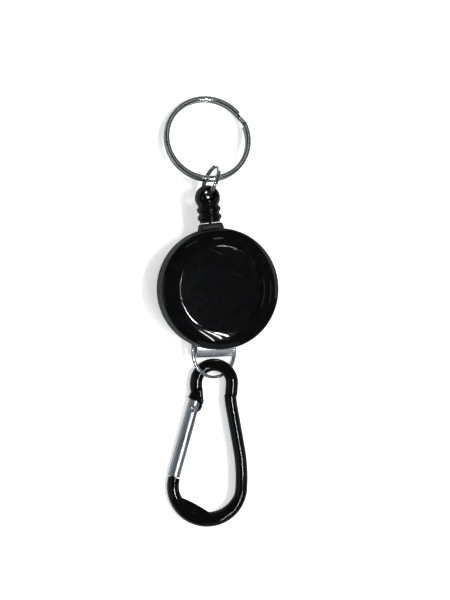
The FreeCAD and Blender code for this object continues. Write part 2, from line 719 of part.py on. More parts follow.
def web():
    """The flat facet that fills the inner corner of the big loop on the gate's side."""
    inner = BIG_R - BAR_R
    a, b = on_arc((0, BIG_Y), inner + 0.3, 204.5), on_arc((0, BIG_Y), inner - 0.62, 278)
    crest = on_arc((0, BIG_Y), inner - WEB_DEPTH, 239)
    back = on_arc((0, BIG_Y), BIG_R, 241)
    plate = outline(
        (*a, 0), ((*crest, 0), (*b, 0)), ((*back, 0), (*a, 0))
    ).extrude(V(0, 0, 2.0))
    plate.translate(V(0, 0, -1.0))
    return plate


def shoulder():
    """The end of the pressed loop, widened to meet the gate."""
    down, side = gate_axis(), across_gate()
    seat = GATE_TOP - down * 0.15
    outer, inner = seat - side * SHOULDER_REACH[0], seat + side * SHOULDER_REACH[1]
    left, right = SHOULDER_TOP
    half = 1.4
    plate = outline((*left, 0), (outer.x, outer.y, 0), (inner.x, inner.y, 0), (*right, 0))
    plate = plate.extrude(V(0, 0, 2 * half))
    plate.translate(V(0, 0, -half))
    long_edges = [e for e in plate.Edges if is_level(e) and abs(e.CenterOfMass.x - seat.x) > 1.2]
    return plate.makeFillet(0.8, long_edges)


def is_level(edge):
    first, last = (vertex.Point.z for vertex in edge.Vertexes)
    return abs(first - last) < 0.01


def tongue():
    """The thin tab in the gate's fork: it carries the pivot, a flat for the plunger and an inner lip."""
    down, side, p = gate_axis(), across_gate(), pivot()
    half = TONGUE_T / 2
    flat = down * PIVOT_TO_FLAT
    corners = [
        p - down * 3.0 - side * 1.25,
        p - side * 1.25,
        p + flat - side * 0.75,
        p + flat + side * 1.15,
        p + down * 0.5 + side * 1.6,
        p + side * 2.1,
        p - down * 0.4 + side * 2.25,
        p - down * 2.9 + side * 2.4,
    ]
    plate = Part.Face(Part.makePolygon(corners + corners[:1])).extrude(V(0, 0, TONGUE_T))
    plate.translate(V(0, 0, -half))
    hole = rod(GATE_RIVET_R + 0.04, p - V(0, 0, 2), p + V(0, 0, 2))
    return plate.cut(hole)


def nose():
    """The small tab on the foot of the bar that the closed gate's slot sits over."""
    down, side = gate_axis(), across_gate()
    half = TONGUE_T / 2
    base = GATE_FOOT + down * 1.2
    tip = GATE_FOOT - down * 1.1
    plate = Part.Face(Part.makePolygon([
        base - side * 0.9, tip - side * 0.6, tip + side * 0.25, base + side * 0.5, base - side * 0.9,
    ])).extrude(V(0, 0, 2 * half))
    plate.translate(V(0, 0, -half))
    return plate


def gate():
    down, p = gate_axis(), pivot()
    foot = GATE_FOOT - down * 0.12
    tube = rod(GATE_R, GATE_TOP, foot)
    bore = rod(GATE_BORE_R, GATE_TOP - down * 0.1, GATE_TOP + down * GATE_BORE_L)
    fork_end = GATE_TOP + down * (PIVOT_BELOW_TOP + 3.0)
    fork = slab(GATE_TOP - down, fork_end, -GATE_R - 1, GATE_R + 1, SLOT_W)
    nose_slot = slab(foot - down * 1.5, foot + down, -GATE_R - 1, 0.55, SLOT_W)
    tube = tube.cut(bore).cut(fork).cut(nose_slot)
    # the inner corners of the fork are rounded about the pivot, so that they turn clear of the bar
    corner = slab(GATE_TOP - down, p, 0, GATE_R + 1, 2 * GATE_R + 1)
    corner = corner.cut(rod(PIVOT_BELOW_TOP, p - V(0, 0, 3), p + V(0, 0, 3)))
    hole = rod(GATE_RIVET_R + 0.01, p - V(0, 0, 3), p + V(0, 0, 3))
    tube = tube.cut(corner).cut(hole)
    return carabiner_pose(max(tube.Solids, key=lambda solid: solid.Volume))


def slab(start, end, from_side, to_side, thickness):
    """A block along the gate, between two distances across it, centred on the carabiner's plane."""
    side = across_gate()
    near, far = side * from_side, side * to_side
    corners = [start + near, end + near, end + far, start + far]
    face = Part.Face(Part.makePolygon(corners + corners[:1]))
    block = face.extrude(V(0, 0, thickness))
    block.translate(V(0, 0, -thickness / 2))
    return block


def gate_rivet():
    p = pivot()
    reach = GATE_R - 0.1
    pin = rod(GATE_RIVET_R, p - V(0, 0, reach), p + V(0, 0, reach))
    heads = []
    for side in (1, -1):
        rise = GATE_RIVET_HEAD_H
        ball_r = (GATE_RIVET_HEAD_R ** 2 + rise ** 2) / (2 * rise)
        centre = p + V(0, 0, side * (reach + 0.12 + rise - ball_r))
        face_z = side * (reach + 0.12)
        cap = Part.makeSphere(ball_r, centre).common(
            rod(GATE_RIVET_HEAD_R + 1, p + V(0, 0, face_z), p + V(0, 0, side * (reach + 2)))
        )
        neck = rod(GATE_RIVET_R, p + V(0, 0, side * 0.5), p + V(0, 0, side * (reach + 0.2)))
        heads.append(cap.fuse(neck))
    return carabiner_pose(pin.fuse(heads).removeSplitter())


def gate_plunger():
    down, p = gate_axis(), pivot()
    tip = p + down * PLUNGER_FROM_PIVOT
    head = rod(0.25, tip, tip + down * 0.5, PLUNGER_R)
    stem = rod(PLUNGER_R, tip + down * 0.5, tip + down * 1.6)
    tail = rod(PLUNGER_R / 2, tip + down * 1.6, tip + down * PLUNGER_L)
    shape = head.fuse([stem, tail]).removeSplitter()
    flat = slab(tip - down * 0.1, tip + down * 1.3, -2, 2, TONGUE_T)
    round_part = rod(PLUNGER_R, tip + down * 1.25, tip + down * PLUNGER_L)
    return carabiner_pose(shape.common(flat.fuse(round_part)))


def gate_spring():
    """The small coil spring that pushes the plunger against the flat of the tongue."""
    down, p = gate_axis(), pivot()
    first = p + down * (PLUNGER_FROM_PIVOT + 1.6 + GATE_SPRING_WIRE / 2 + 0.02)
    last = GATE_TOP + down * (GATE_BORE_L - GATE_SPRING_WIRE / 2 - 0.02)
    helix_l = (last - first).Length
    pitch = helix_l / GATE_SPRING_COILS
    helix = Part.makeHelix(pitch, helix_l, GATE_SPRING_R)
    start = V(GATE_SPRING_R, 0, 0)
    tangent = V(0, 2 * math.pi * GATE_SPRING_R, pitch).normalize()
    section = circle_at(start, tangent, GATE_SPRING_WIRE / 2)
    coil = Part.Wire(helix.Edges).makePipeShell([section], True, True)
    coil.Placement = FreeCAD.Placement(first, FreeCAD.Rotation(Z_AXIS, down))
    return carabiner_pose(coil)


# ---------------------------------------------------------------- assembly

def build():
    return {
        "front_cover": front_cover(),
        "rear_cover": rear_cover(),
        "cord_guide": cord_guide(),
        "spool": spool(),
        "spiral_spring": spiral_spring(),
        "cord_winding": cord_winding(),
        "cord_anchor": cord_anchor(),
        "cord_run": cord_run(),
        "pull_cord": pull_cord(),
        "cord_knot": cord_knot(),
        "cord_bead": cord_bead(),
        "link": placed(split_ring(LINK, RAMP["link"], 60), link_frame()),
        "key_ring": placed(split_ring(KEY_RING, RAMP["key_ring"], KEY_RING_SEAM), key_ring_frame()),
        "belt_clip": belt_clip(),
        "clip_rivet": clip_rivet(),
        "tail_ring": placed(split_ring(TAIL_RING, RAMP["tail_ring"], TAIL_RING_SEAM), TAIL_RING_FRAME),
        "carabiner_body": carabiner_body(),
        "gate": gate(),
        "gate_rivet": gate_rivet(),
        "gate_plunger": gate_plunger(),
        "gate_spring": gate_spring(),
    }


def main():
    os.makedirs("parts", exist_ok=True)
    for name, shape in build().items():
        solids = shape.Solids
        good = all(s.isValid() and s.Volume > 0 for s in solids)
        print(f"{name:16s} solids {len(solids)} volume {shape.Volume:9.3f} valid {good}")
        shape.exportStep(f"parts/{name}.step")


main()
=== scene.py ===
"""Looks of the retractable badge reel: fine meshes, materials, floor, lights and camera."""

import json
import math

import bmesh
import bpy
from mathutils import Matrix, Vector


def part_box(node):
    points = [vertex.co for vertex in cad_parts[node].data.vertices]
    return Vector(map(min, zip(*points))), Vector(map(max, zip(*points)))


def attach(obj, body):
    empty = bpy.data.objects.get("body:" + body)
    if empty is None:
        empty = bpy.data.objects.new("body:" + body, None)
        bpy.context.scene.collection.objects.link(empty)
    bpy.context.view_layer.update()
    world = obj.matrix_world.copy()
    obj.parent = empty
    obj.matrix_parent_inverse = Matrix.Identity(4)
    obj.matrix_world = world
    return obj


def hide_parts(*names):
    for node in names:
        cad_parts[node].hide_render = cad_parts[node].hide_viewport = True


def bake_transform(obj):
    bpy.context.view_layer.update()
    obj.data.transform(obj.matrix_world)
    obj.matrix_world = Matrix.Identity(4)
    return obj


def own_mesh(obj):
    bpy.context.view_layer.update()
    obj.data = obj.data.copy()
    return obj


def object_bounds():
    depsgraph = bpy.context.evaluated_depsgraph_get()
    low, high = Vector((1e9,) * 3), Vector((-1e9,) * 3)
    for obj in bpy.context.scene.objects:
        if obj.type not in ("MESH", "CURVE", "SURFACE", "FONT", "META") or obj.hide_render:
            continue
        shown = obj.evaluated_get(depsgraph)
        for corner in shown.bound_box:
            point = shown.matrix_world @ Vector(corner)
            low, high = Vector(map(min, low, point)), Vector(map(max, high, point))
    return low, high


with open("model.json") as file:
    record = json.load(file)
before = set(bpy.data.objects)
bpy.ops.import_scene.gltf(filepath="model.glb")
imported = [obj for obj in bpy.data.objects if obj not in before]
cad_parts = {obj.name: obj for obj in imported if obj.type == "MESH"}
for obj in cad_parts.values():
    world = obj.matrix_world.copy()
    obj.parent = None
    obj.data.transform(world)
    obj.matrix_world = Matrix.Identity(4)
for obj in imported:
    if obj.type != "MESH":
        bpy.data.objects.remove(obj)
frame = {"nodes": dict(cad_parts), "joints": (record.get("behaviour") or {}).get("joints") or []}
CAD_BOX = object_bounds()

MM = 0.001
NODES = frame["nodes"]
JOINTS = {j["name"]: j for j in frame["joints"]}
SCENE = bpy.context.scene


# ---------------------------------------------------------------- material helpers

class Nodes:
    """A material's node tree, with short ways to add nodes and link them."""

    def __init__(self, name):
        self.material = bpy.data.materials.new(name)
        self.material.use_nodes = True
        self.tree = self.material.node_tree
        self.shader = self.tree.nodes["Principled BSDF"]
        self.coords = self.add("ShaderNodeTexCoord").outputs["Object"]

    def add(self, kind, **settings):
        """A new node of a kind, with its settings."""
        node = self.tree.nodes.new(kind)
        for key, value in settings.items():
            setattr(node, key, value)
        return node

    def link(self, source, target):
        self.tree.links.new(source, target)

    def set(self, **values):
        """Values on the shader's own sockets. An underscore stands for a space in a socket's name."""
        for key, value in values.items():
            socket = self.shader.inputs[key.replace("_", " ")]
            socket.default_value = (*value, 1.0) if isinstance(value, tuple) else value

    def mapped(self, scale=(1, 1, 1), rotation=(0, 0, 0)):
        """Object coordinates in millimetres, turned, then scaled."""
        turn = self.add("ShaderNodeMapping", vector_type="POINT")
        turn.inputs["Rotation"].default_value = rotation
        turn.inputs["Scale"].default_value = (1 / MM, 1 / MM, 1 / MM)
        self.link(self.coords, turn.inputs["Vector"])
        stretch = self.add("ShaderNodeMapping", vector_type="POINT")
        stretch.inputs["Scale"].default_value = scale
        self.link(turn.outputs["Vector"], stretch.inputs["Vector"])
        return stretch.outputs["Vector"]

    def noise(self, scale, detail=3.0, vector=None, roughness=0.55):
        """A noise from 0 to 1, with scale waves to the millimetre."""
        node = self.add("ShaderNodeTexNoise")
        node.inputs["Scale"].default_value = scale
        node.inputs["Detail"].default_value = detail
        node.inputs["Roughness"].default_value = roughness
        self.link(vector or self.mapped(), node.inputs["Vector"])
        return node.outputs["Fac"]

    def ramp(self, value, low, high, from_low=0.0, from_high=1.0):
        """Maps a value to another range, clamped."""
        node = self.add("ShaderNodeMapRange")
        node.inputs["From Min"].default_value = from_low
        node.inputs["From Max"].default_value = from_high
        node.inputs["To Min"].default_value = low
        node.inputs["To Max"].default_value = high
        self.link(value, node.inputs["Value"])
        return node.outputs["Result"]

    def math(self, operation, a, b):
        """An operation on two values: each is a number or an output."""
        node = self.add("ShaderNodeMath", operation=operation)
        for socket, value in zip(node.inputs, (a, b)):
            if isinstance(value, (int, float)):
                socket.default_value = value
            else:
                self.link(value, socket)
        return node.outputs["Value"]

    def mix(self, factor, a, b):
        """A colour between a and b: each is a colour or an output."""
        node = self.add("ShaderNodeMix", data_type="RGBA")
        self.link(factor, node.inputs["Factor"])
        colour_sockets = [s for s in node.inputs if s.type == "RGBA"]
        for socket, value in zip(colour_sockets, (a, b)):
            if isinstance(value, tuple):
                socket.default_value = (*value, 1.0)
            else:
                self.link(value, socket)
        return next(s for s in node.outputs if s.type == "RGBA")

    def bump(self, *layers):
        """Bumps laid over each other: each is (height, strength, distance in millimetres)."""
        normal = None
        for height, strength, distance in layers:
            node = self.add("ShaderNodeBump")
            node.inputs["Strength"].default_value = strength
            node.inputs["Distance"].default_value = distance * MM
            self.link(height, node.inputs["Height"])
            if normal:
                self.link(normal, node.inputs["Normal"])
            normal = node.outputs["Normal"]
        self.link(normal, self.shader.inputs["Normal"])

    def feed(self, **values):
        """Links outputs to the shader's sockets."""
        for key, value in values.items():
            self.link(value, self.shader.inputs[key.replace("_", " ")])


def specks(n, scale, size, keep):
    """Scattered small dots, 1 on a dot: size is a dot's radius in cells, keep the share of cells with one."""
    cells = n.add("ShaderNodeTexVoronoi")
    cells.inputs["Scale"].default_value = scale
    n.link(n.mapped(), cells.inputs["Vector"])
    dot = n.ramp(cells.outputs["Distance"], 1.0, 0.0, size * 0.4, size)
    split = n.add("ShaderNodeSeparateColor")
    n.link(cells.outputs["Color"], split.inputs["Color"])
    chosen = n.math("GREATER_THAN", split.outputs["Red"], 1.0 - keep)
    return n.math("MULTIPLY", dot, chosen)


def hairlines(n, scale, angle, threshold):
    """Fine scratches that run one way, 1 on a scratch."""
    streaks = n.noise(scale, 2.0, n.mapped((0.06, 1.4, 1.4), (0.0, 0.0, angle)))
    return n.ramp(streaks, 0.0, 1.0, threshold, threshold + 0.05)


# ---------------------------------------------------------------- materials

def gloss_plastic(name, colour, rough, wear=1.0, level=0.42):
    """Glossy moulded ABS: a faint waviness, fine handling scratches and a little dust."""
    n = Nodes(name)
    cloud = n.noise(0.35, 4.0)
    tint = n.mix(n.ramp(cloud, 0.0, 1.0, 0.3, 0.7), colour, tuple(c * 2.2 for c in colour))
    dust = specks(n, 1.1, 0.06, 0.16)
    n.feed(Base_Color=n.mix(n.math("MULTIPLY", dust, 0.35 * wear), tint, (0.07, 0.07, 0.075)))
    lines = n.math("MAXIMUM", hairlines(n, 1.1, 0.5, 0.72), hairlines(n, 1.3, 2.2, 0.73))
    haze = n.ramp(n.noise(0.8, 5.0), rough, rough * 1.5, 0.35, 0.7)
    worn = n.math("ADD", haze, n.math("MULTIPLY", lines, 0.05 * wear))
    n.feed(Roughness=n.math("ADD", worn, n.math("MULTIPLY", dust, 0.25)))
    n.bump((n.noise(0.25, 1.0), 0.06, 0.03), (n.noise(9.0, 2.0), 0.02, 0.004), (lines, -0.05 * wear, 0.002))
    n.set(IOR=1.5, Specular_IOR_Level=level)
    return n.material


def matt_plastic(name, colour, rough=0.5, grain=14.0):
    """Moulded plastic with a fine spark-eroded grain."""
    n = Nodes(name)
    tint = n.mix(n.noise(1.2, 4.0), colour, tuple(c * 1.35 for c in colour))
    n.feed(Base_Color=tint)
    n.feed(Roughness=n.ramp(n.noise(2.0, 4.0), rough - 0.05, rough + 0.08, 0.3, 0.7))
    n.bump((n.noise(grain, 4.0), 0.35, 0.02), (n.noise(1.0, 2.0), 0.1, 0.05))
    n.set(IOR=1.49, Specular_IOR_Level=0.25)
    return n.material


def plated(name, colour, rough, scale=1.0, metallic=0.88):
    """Bright nickel plating: faint waves, small pits, hairlines and duller patches."""
    n = Nodes(name)
    patches = n.ramp(n.noise(0.9 * scale, 4.0), 0.0, 1.0, 0.4, 0.75)
    n.feed(Base_Color=n.mix(patches, colour, tuple(c * 0.82 for c in colour)))
    lines = n.math("MAXIMUM", hairlines(n, 2.0 * scale, 0.2, 0.68), hairlines(n, 1.7 * scale, 1.8, 0.7))
    pits = specks(n, 2.6 * scale, 0.09, 0.3)
    base = n.ramp(n.noise(1.6 * scale, 5.0), rough, rough + 0.09, 0.35, 0.7)
    n.feed(Roughness=n.math("ADD", base, n.math("MULTIPLY", lines, 0.14)))
    n.bump((n.noise(0.7 * scale, 2.0), 0.08, 0.02), (lines, -0.1, 0.003), (pits, -0.15, 0.005))
    n.set(Metallic=metallic, IOR=2.0)
    return n.material


def brushed(name, colour, rotation, rough=0.3):
    """Drawn aluminium: fine grooves along one direction, smears and a few dents."""
    n = Nodes(name)
    grooves = n.noise(5.0, 5.0, n.mapped((1.0, 1.0, 0.05), rotation), 0.65)
    broad = n.noise(1.1, 3.0, n.mapped((1.0, 1.0, 0.16), rotation))
    shade = n.mix(n.ramp(grooves, 0.0, 1.0, 0.3, 0.7), tuple(c * 0.8 for c in colour), colour)
    n.feed(Base_Color=n.mix(n.ramp(broad, 0.0, 1.0, 0.4, 0.7), shade, tuple(c * 0.86 for c in colour)))
    n.feed(Roughness=n.ramp(grooves, rough - 0.06, rough + 0.12, 0.3, 0.7))
    n.bump((grooves, 0.22, 0.02), (broad, 0.12, 0.05))
    n.set(Metallic=1.0, Anisotropic=0.4, IOR=1.45)
    return n.material


def enamel(name, colour):
    """Gloss coat on the carabiner: orange peel, small nicks and dust."""
    n = Nodes(name)
    dust = specks(n, 1.3, 0.07, 0.25)
    tint = n.mix(n.noise(0.5, 3.0), colour, tuple(c * 1.8 for c in colour))
    n.feed(Base_Color=n.mix(n.math("MULTIPLY", dust, 0.5), tint, (0.14, 0.14, 0.15)))
    lines = hairlines(n, 1.2, 1.2, 0.7)
    base = n.ramp(n.noise(0.7, 4.0), 0.055, 0.09, 0.35, 0.7)
    n.feed(Roughness=n.math("ADD", base, n.math("MULTIPLY", lines, 0.1)))
    n.bump((n.noise(1.2, 2.0), 0.12, 0.03), (n.noise(12.0, 2.0), 0.04, 0.006), (lines, -0.08, 0.003))
    n.set(IOR=1.5, Specular_IOR_Level=0.4)
    return n.material


def braid(name, colour, axis_scale):
    """Braided nylon: two sets of slanted strands over a round cord, with painted shade in the gaps between
    the strands.
    """
    n = Nodes(name)
    strands = []
    for sign in (1, -1):
        wave = n.add("ShaderNodeTexWave", wave_type="BANDS", bands_direction="DIAGONAL")
        wave.inputs["Scale"].default_value = axis_scale
        wave.inputs["Distortion"].default_value = 0.6
        n.link(n.mapped((sign, 1, 1)), wave.inputs["Vector"])
        strands.append(wave.outputs["Fac"])
    weave = n.math("MAXIMUM", *strands)
    # painted shade: the colour darkens to 40% in the gaps between the strands
    n.feed(Base_Color=n.mix(weave, tuple(c * 0.4 for c in colour), colour))
    n.feed(Roughness=n.ramp(n.noise(6.0), 0.55, 0.75))
    n.bump((weave, 0.6, 0.06), (n.noise(20.0), 0.2, 0.01))
    n.set(Sheen_Weight=0.3, Sheen_Roughness=0.4)
    return n.material


def spring_steel(name):
    """Tempered strip and wire, slightly mottled."""
    n = Nodes(name)
    tone = n.noise(2.0, 4.0)
    n.feed(Base_Color=n.mix(tone, (0.42, 0.43, 0.45), (0.6, 0.61, 0.63)))
    n.feed(Roughness=n.ramp(tone, 0.22, 0.36, 0.3, 0.7))
    n.bump((n.noise(6.0, 3.0), 0.15, 0.01))
    n.set(Metallic=1.0)
    return n.material


def axis_rotation(axis):
    """The rotation, as XYZ angles, that takes a direction to +Z."""
    return Vector(axis).rotation_difference(Vector((0, 0, 1))).to_euler("XYZ")


# The plunger slides along the gate, and the gate's brushing runs the same way.
GATE_TURN = axis_rotation(Vector(JOINTS["plunger_slide"]["axis"]).normalized())

BLACK = (0.0016, 0.0016, 0.0018)
CASE = gloss_plastic("gloss_black_case", BLACK, rough=0.035)
BACK_CASE = gloss_plastic("satin_black_back", BLACK, rough=0.36, level=0.3)
BEAD = gloss_plastic("gloss_black_bead", BLACK, rough=0.08, wear=0.7, level=0.32)
GUIDE = matt_plastic("matt_black_guide", (0.011, 0.0115, 0.0125))
SPOOL = matt_plastic("white_spool", (0.72, 0.72, 0.69), rough=0.42, grain=8.0)
NICKEL = plated("nickel_ring", (0.6, 0.62, 0.6), rough=0.08, metallic=0.95)
THIN_NICKEL = plated("nickel_thin_ring", (0.7, 0.71, 0.73), rough=0.14, scale=1.1, metallic=0.94)
CLIP = plated("nickel_clip", (0.74, 0.78, 0.83), rough=0.26, scale=0.5, metallic=0.76)
RIVET = plated("rivet_steel", (0.5, 0.52, 0.54), rough=0.14, scale=2.0)
ALUMINIUM = brushed("brushed_aluminium", (0.6, 0.635, 0.67), GATE_TURN)
ENAMEL = enamel("black_enamel", BLACK)
CORD = braid("braided_cord", (0.03, 0.03, 0.033), axis_scale=1.6)
STEEL = spring_steel("spring_steel")

NODE_MATERIALS = {
    "front_cover": CASE, "rear_cover": BACK_CASE, "cord_guide": GUIDE, "cord_run": CORD,
    "spiral_spring": STEEL, "spool": SPOOL, "cord_winding": CORD, "cord_anchor": CORD,
    "belt_clip": CLIP, "clip_rivet": CLIP, "tail_ring": THIN_NICKEL, "carabiner_body": ENAMEL,
    "gate_rivet": ALUMINIUM, "gate": ALUMINIUM, "gate_spring": STEEL, "gate_plunger": ALUMINIUM,
    "cord_bead": BEAD, "pull_cord": CORD, "cord_knot": CORD, "link": NICKEL, "key_ring": NICKEL,
}


def paint_nodes():
    for name, node in NODES.items():
        material = NODE_MATERIALS[name]
        if not node.material_slots:
            node.data.materials.append(material)
        for slot in node.material_slots:
            slot.material = material


# ---------------------------------------------------------------- mesh helpers

def add_piece(name, vertices, faces, material, body):
    """A smooth-shaded piece from points in millimetres, riding on a body."""
    mesh = bpy.data.meshes.new(name)
    mesh.from_pydata([Vector(v) * MM for v in vertices], [], faces)
    mesh.polygons.foreach_set("use_smooth", [True] * len(mesh.polygons))
    turn_outward(mesh)
    return place_piece(name, mesh, material, body)


def turn_outward(mesh):
    """Makes every face of a closed mesh face outward."""
    work = bmesh.new()
    work.from_mesh(mesh)
    bmesh.ops.recalc_face_normals(work, faces=work.faces)
    work.to_mesh(mesh)
    work.free()


def place_piece(name, mesh, material, body):
    """An object for a mesh, with one material, riding on a body if one is named."""
    piece = bpy.data.objects.new(name, mesh)
    SCENE.collection.objects.link(piece)
    piece.data.materials.clear()
    piece.data.materials.append(material)
    if body:
        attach(piece, body)
    return piece


def baked(piece):
    """The piece's mesh with its modifiers applied."""
    view = bpy.context.evaluated_depsgraph_get()
    mesh = bpy.data.meshes.new_from_object(piece.evaluated_get(view))
    piece.modifiers.clear()
    piece.data = mesh
    return mesh


def softened(node, name, material, body, voxel, rounds):
    """The node's shape as one skin with softly blended inner corners and rounded edges.

    It is remeshed in millimetres, because a voxel in metres would be too small a number.
    """
    mesh = NODES[node].data.copy()
    mesh.transform(Matrix.Scale(1 / MM, 4))
    piece = place_piece(name, mesh, material, None)
    remesh = piece.modifiers.new("skin", "REMESH")
    remesh.mode = "VOXEL"
    remesh.voxel_size = voxel
    smooth = piece.modifiers.new("soften", "SMOOTH")
    smooth.factor = 0.5
    smooth.iterations = rounds
    mesh = baked(piece)
    mesh.transform(Matrix.Scale(MM, 4))
    mesh.polygons.foreach_set("use_smooth", [True] * len(mesh.polygons))
    mesh.materials.clear()
    mesh.materials.append(material)
    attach(piece, body)
    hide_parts(node)
    return piece


def loft(sections):
    """Vertices and faces of a closed skin over sections that all have as many points."""
    count = len(sections[0])
    vertices = [p for section in sections for p in section]
    faces = []
    for k in range(len(sections) - 1):
        low, high = k * count, (k + 1) * count
        for i in range(count):
            j = (i + 1) % count
            faces.append((low + i, low + j, high + j, high + i))
    faces.append(tuple(reversed(range(count))))
    faces.append(tuple(range(len(vertices) - count, len(vertices))))
    return vertices, faces


def lathe(profile, centre, axis, steps):
    """A profile of (radius, height) turned about an axis, from its first point on the axis to its last."""
    turn = Vector((0, 0, 1)).rotation_difference(Vector(axis)).to_matrix()
    inner = profile[1:-1]
    vertices, faces = [], []
    for k in range(steps):
        a = 2 * math.pi * k / steps
        for r, h in inner:
            vertices.append(Vector(centre) + turn @ Vector((r * math.cos(a), r * math.sin(a), h)))
    n = len(inner)
    for k in range(steps):
        here, there = k * n, (k + 1) % steps * n
        for i in range(n - 1):
            faces.append((here + i, there + i, there + i + 1, here + i + 1))
    for end, i in ((profile[0], 0), (profile[-1], n - 1)):
        tip = len(vertices)
        vertices.append(Vector(centre) + turn @ Vector((0, 0, end[1])))
        for k in range(steps):
            pair = (k * n + i, (k + 1) % steps * n + i)
            faces.append((*(reversed(pair) if i == 0 else pair), tip))
    return vertices, faces


def middle(node):
    """The centre of a node's box, in millimetres."""
    low, high = (Vector(corner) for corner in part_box(node))
    return (low + high) / 2 / MM


# ---------------------------------------------------------------- split rings

COIL_GAP = 0.04              # millimetres between the two coils
SECTION_POINTS = 28
STATION_STEP = 1.5           # degrees between sections along the wire
END_GAP = 1.5                # degrees between the wire's cut end and the step
END_ROUNDING = ((0.82, 0.0), (0.95, 0.25), (1.0, 0.7))  # the section's size, and degrees from the end

RINGS = {
    # mean radius, radial width and thickness of one coil; degrees of the step between coils; the split's
    # angle from +X; the ring's axis; the power of the section's superellipse; material
    "key_ring": ((11.05, 1.4, 1.15), 16.0, 22.0, (0.0, 0.25882, 0.96593), 2.3, NICKEL),
    "link": ((4.05, 0.65, 0.55), 50.0, -2.62, (-0.88096, 0.4539, 0.13375), 2.4, NICKEL),
    "tail_ring": ((6.6, 0.8, 0.42), 30.0, -67.29, (0.32433, -0.02838, 0.94552), 2.5, THIN_NICKEL),
}


def wire_section(radial, coil, power, shrink):
    """A flattened round wire's section, as (outward, up) offsets. It shrinks at the wire's cut ends."""
    points = []
    for k in range(SECTION_POINTS):
        a = 2 * math.pi * k / SECTION_POINTS
        c, s = math.cos(a), math.sin(a)
        x = math.copysign(abs(c) ** (2 / power), c) * radial / 2
        z = math.copysign(abs(s) ** (2 / power), s) * coil / 2
        points.append((x * shrink, z * shrink))
    return points


def coil_height(angle, level, step, first_turn_end):
    """Height of the wire's centre: one level on the first turn, the other on the second, eased between."""
    t = min(1.0, max(0.0, (angle - first_turn_end) / step))
    return level - 2 * level * t * t * (3 - 2 * t)


def split_ring(name):
    """Two turns of wire with a step between them. The ring's node and its body share a name."""
    (r, radial, coil), step, seam, axis, power, material = RINGS[name]
    level = (coil + COIL_GAP) / 2
    up = Vector(axis).normalized()
    right = (Vector((1, 0, 0)) - up * up.x).normalized()
    ahead = up.cross(right)
    centre = middle(name)
    begin, first_turn_end = seam + step / 2 + END_GAP, seam - step / 2 + 360
    stop = seam - step / 2 - END_GAP + 720
    count = int((stop - begin) / STATION_STEP)
    rounded = END_ROUNDING[-1][1]
    span = stop - begin - 2 * rounded
    stations = [(begin + d, k) for k, d in END_ROUNDING]
    stations += [(begin + rounded + span * i / count, 1.0) for i in range(1, count)]
    stations += [(stop - d, k) for k, d in reversed(END_ROUNDING)]
    sections = []
    for angle, shrink in stations:
        a = math.radians(angle)
        outward = right * math.cos(a) + ahead * math.sin(a)
        height = coil_height(angle, level, step, first_turn_end)
        sections.append([
            centre + outward * (r + x) + up * (height + z)
            for x, z in wire_section(radial, coil, power, shrink)
        ])
    vertices, faces = loft(sections)
    piece = add_piece(f"{name}_wire", vertices, faces, material, name)
    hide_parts(name)


# ---------------------------------------------------------------- belt clip

# In millimetres, in the clip's own frame, which is turned about the rivet.
CLIP_TURN = math.radians(-5.0)
CLIP_HALF_W = 5.0
CLIP_T = 0.6
CLIP_TOP_Z = 6.2                  # the inner leaf's upper face, under the casing
CLIP_INNER_END_Y = 6.0
CLIP_BEND = (-15.0, 3.1, 2.8)     # centre y, centre z and radius, to the middle of the sheet
CLIP_LEAF = ((5.0, 0.3), (8.6, 4.0), (11.4, 2.9))   # the outer leaf's corners, in the middle of the sheet
CLIP_LEAF_START = 0.5             # where the outer leaf begins, past the bend's centre
CLIP_CORNER_R = 2.6
CLIP_FOLD_R = 1.2
CLIP_EDGE_R = 0.14
CLIP_EDGE_ANGLES = (0, 22, 45, 68, 90)
CLIP_STEP = 0.25                  # between sections along the sheet
CLIP_END_THINNING = (0.55, 0.25)  # share of the thickness left at an end, and how far in it is full
BEND_STEPS = 32
FOLD_STEPS = 8


def folded(points, radius):
    """A line through points with its inner corners rounded."""
    line = [Vector(points[0])]
    for before, here, after in zip(points, points[1:], points[2:]):
        before, here, after = Vector(before), Vector(here), Vector(after)
        into, out = (here - before).normalized(), (after - here).normalized()
        half = into.angle(out) / 2
        reach = radius * math.tan(half)
        a, b = here - into * reach, here + out * reach
        for k in range(FOLD_STEPS + 1):
            t = k / FOLD_STEPS
            line.append(a * (1 - t) ** 2 + here * 2 * t * (1 - t) + b * t * t)
    line.append(Vector(points[-1]))
    return line


def clip_line():
    """The sheet's middle line, as (y, z), from the inner leaf's end to the outer leaf's tip."""
    by, bz, r = CLIP_BEND
    top = CLIP_TOP_Z - CLIP_T / 2
    line = [Vector((CLIP_INNER_END_Y, top)), Vector((by, top))]
    for k in range(1, BEND_STEPS + 1):
        a = math.pi / 2 + math.pi * k / BEND_STEPS
        line.append(Vector((by + r * math.cos(a), bz + r * math.sin(a))))
    line += folded([(by + CLIP_LEAF_START, CLIP_LEAF[0][1]), *CLIP_LEAF], CLIP_FOLD_R)
    return line


def evenly(line, step):
    """Points along a line about a step apart, each with its tangent and distance from the start."""
    lengths = [0.0]
    for a, b in zip(line, line[1:]):
        lengths.append(lengths[-1] + (b - a).length)
    total = lengths[-1]
    count = int(total / step)
    out, k = [], 0
    for i in range(count + 1):
        s = total * i / count
        while k < len(line) - 2 and lengths[k + 1] < s:
            k += 1
        span = max(lengths[k + 1] - lengths[k], 1e-9)
        t = (s - lengths[k]) / span
        out.append((line[k].lerp(line[k + 1], t), (line[k + 1] - line[k]).normalized(), s, total))
    return out


